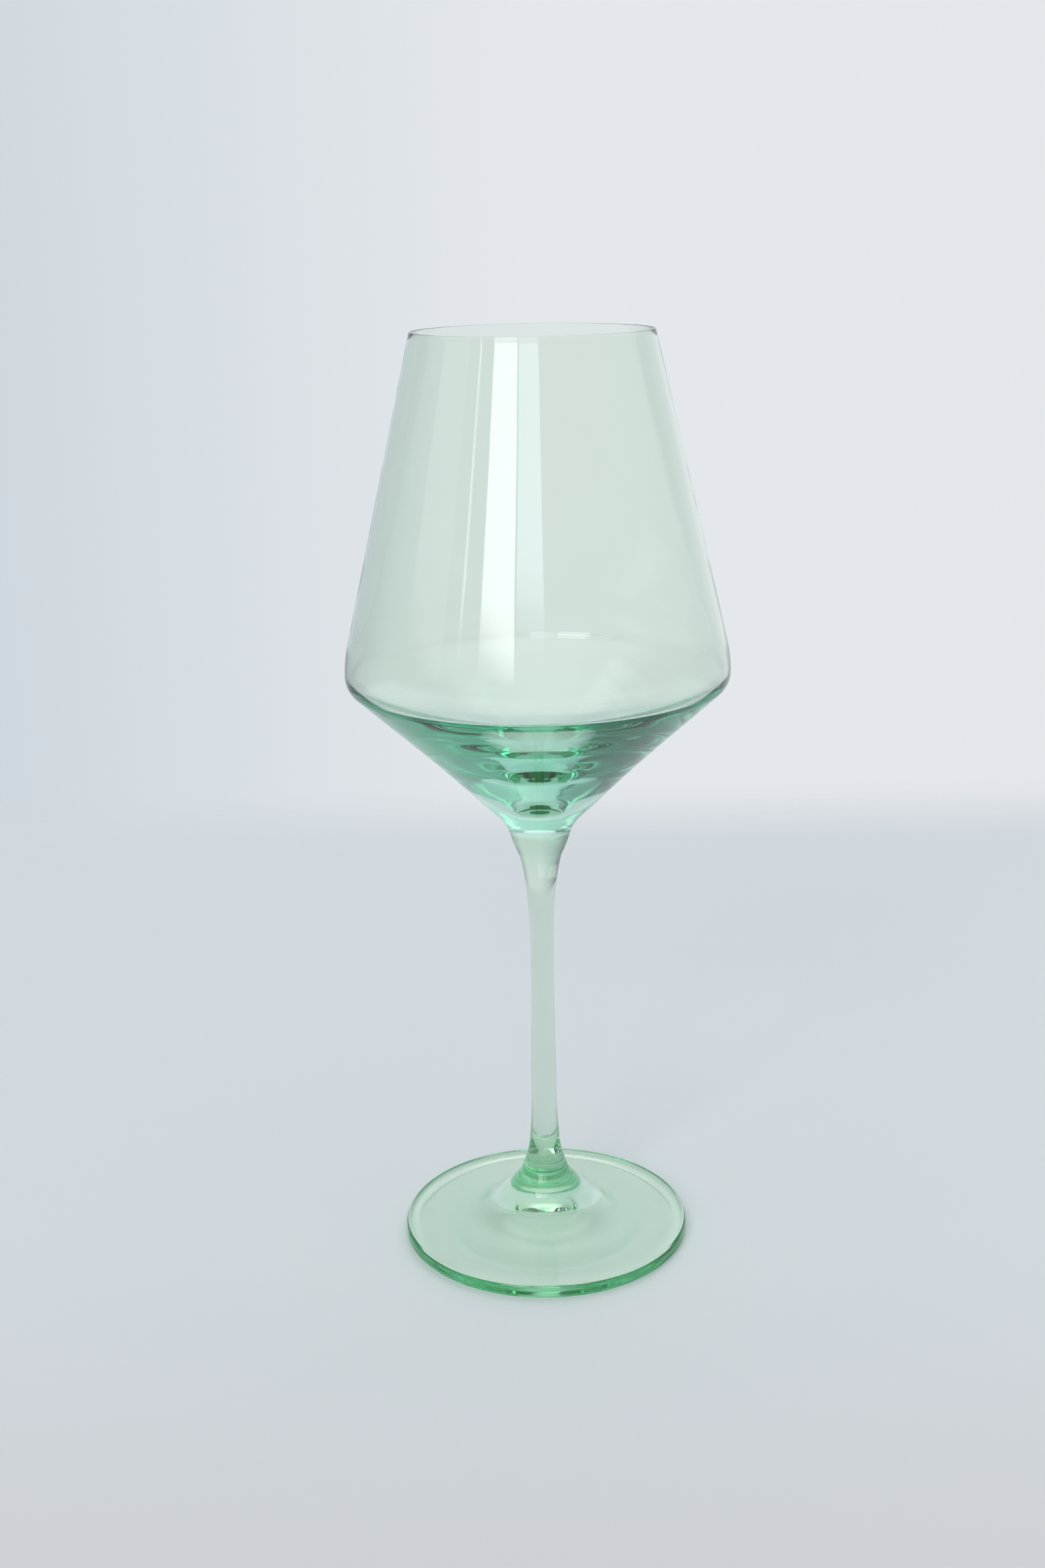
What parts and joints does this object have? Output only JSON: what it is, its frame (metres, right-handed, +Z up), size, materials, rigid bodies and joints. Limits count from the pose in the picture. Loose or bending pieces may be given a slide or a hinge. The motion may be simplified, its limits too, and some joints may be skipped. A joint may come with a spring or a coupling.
{
  "type": "wine glass",
  "caption": "Stemmed wine glass of pale green tinted clear glass: angular bowl with a tapered chimney, drawn stem and round disc foot.",
  "frame": {"origin": "middle of the flat ring that the foot stands on", "axes": "+Z up along the axis that all three pieces are turned about; X and Y are alike"},
  "size_m": [0.095, 0.095, 0.235],
  "materials": {
    "green_glass": "polished clear glass, tinted pale green all through"
  },
  "bodies": {
    "root": {"bowl": "green_glass", "stem": "green_glass", "foot": "green_glass"}
  },
  "joints": []
}
